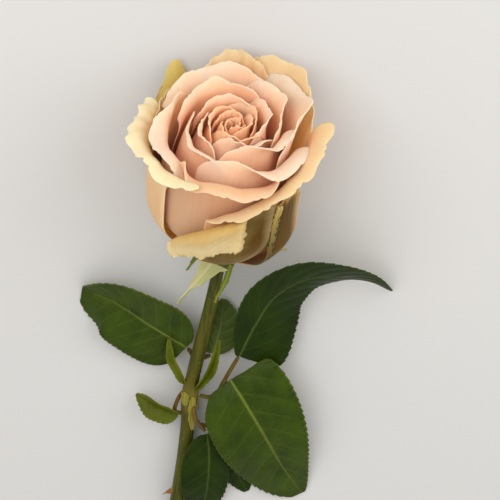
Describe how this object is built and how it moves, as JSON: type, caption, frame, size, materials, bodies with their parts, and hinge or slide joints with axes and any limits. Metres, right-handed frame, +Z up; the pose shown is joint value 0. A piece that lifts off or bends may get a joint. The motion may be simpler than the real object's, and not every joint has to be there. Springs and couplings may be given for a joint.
{
  "type": "cut rose stem",
  "caption": "Cut rose with a full pale peach bloom, cream rolled outer petals, a prickly green stem and toothed compound leaves, lying on its side.",
  "frame": {"origin": "middle of the part's bounding box in X and Y, on the surface that it lies on", "axes": "+Y along the stem towards the bloom, +Z up from the surface, +X to the right of the stem seen from above"},
  "size_m": [0.1293, 0.411, 0.0717],
  "materials": {
    "guard_petals": "satin",
    "outer_petals": "satin",
    "inner_petals": "satin",
    "heart_petals": "satin",
    "hip": "satin",
    "sepals": "matte",
    "stem": "satin",
    "leaves": "satin",
    "young_leaves": "satin",
    "stalks": "satin"
  },
  "bodies": {
    "root": {"petal_guard_1": "guard_petals", "petal_guard_2": "guard_petals", "petal_guard_3": "guard_petals", "petal_outer_1": "outer_petals", "petal_outer_2": "outer_petals", "petal_outer_3": "outer_petals", "petal_outer_4": "outer_petals", "petal_outer_5": "outer_petals", "petal_outer_6": "outer_petals", "petal_mid_1": "inner_petals", "petal_mid_2": "inner_petals", "petal_mid_3": "inner_petals", "petal_mid_4": "inner_petals", "petal_inner_1": "inner_petals", "petal_inner_2": "inner_petals", "petal_inner_3": "inner_petals", "petal_inner_4": "inner_petals", "petal_centre_1": "heart_petals", "petal_centre_2": "heart_petals", "petal_centre_3": "heart_petals", "petal_centre_4": "heart_petals", "bloom_heart": "heart_petals", "hip": "hip", "sepal_1": "sepals", "sepal_2": "sepals", "sepal_3": "sepals", "sepal_4": "sepals", "sepal_5": "sepals", "stem": "stem", "leaf_left_leaflet_1": "leaves", "leaf_left_leaflet_2": "leaves", "leaf_right_leaflet_1": "leaves", "leaf_right_leaflet_2": "leaves", "leaf_low_leaflet_1": "leaves", "leaf_low_leaflet_2": "leaves", "leaf_young": "young_leaves", "shoot_left": "young_leaves", "shoot_right": "young_leaves", "leaf_left_stalk": "stalks", "leaf_right_stalk": "stalks", "leaf_low_stalk": "stalks", "leaf_young_stalk": "stalks"}
  },
  "joints": []
}
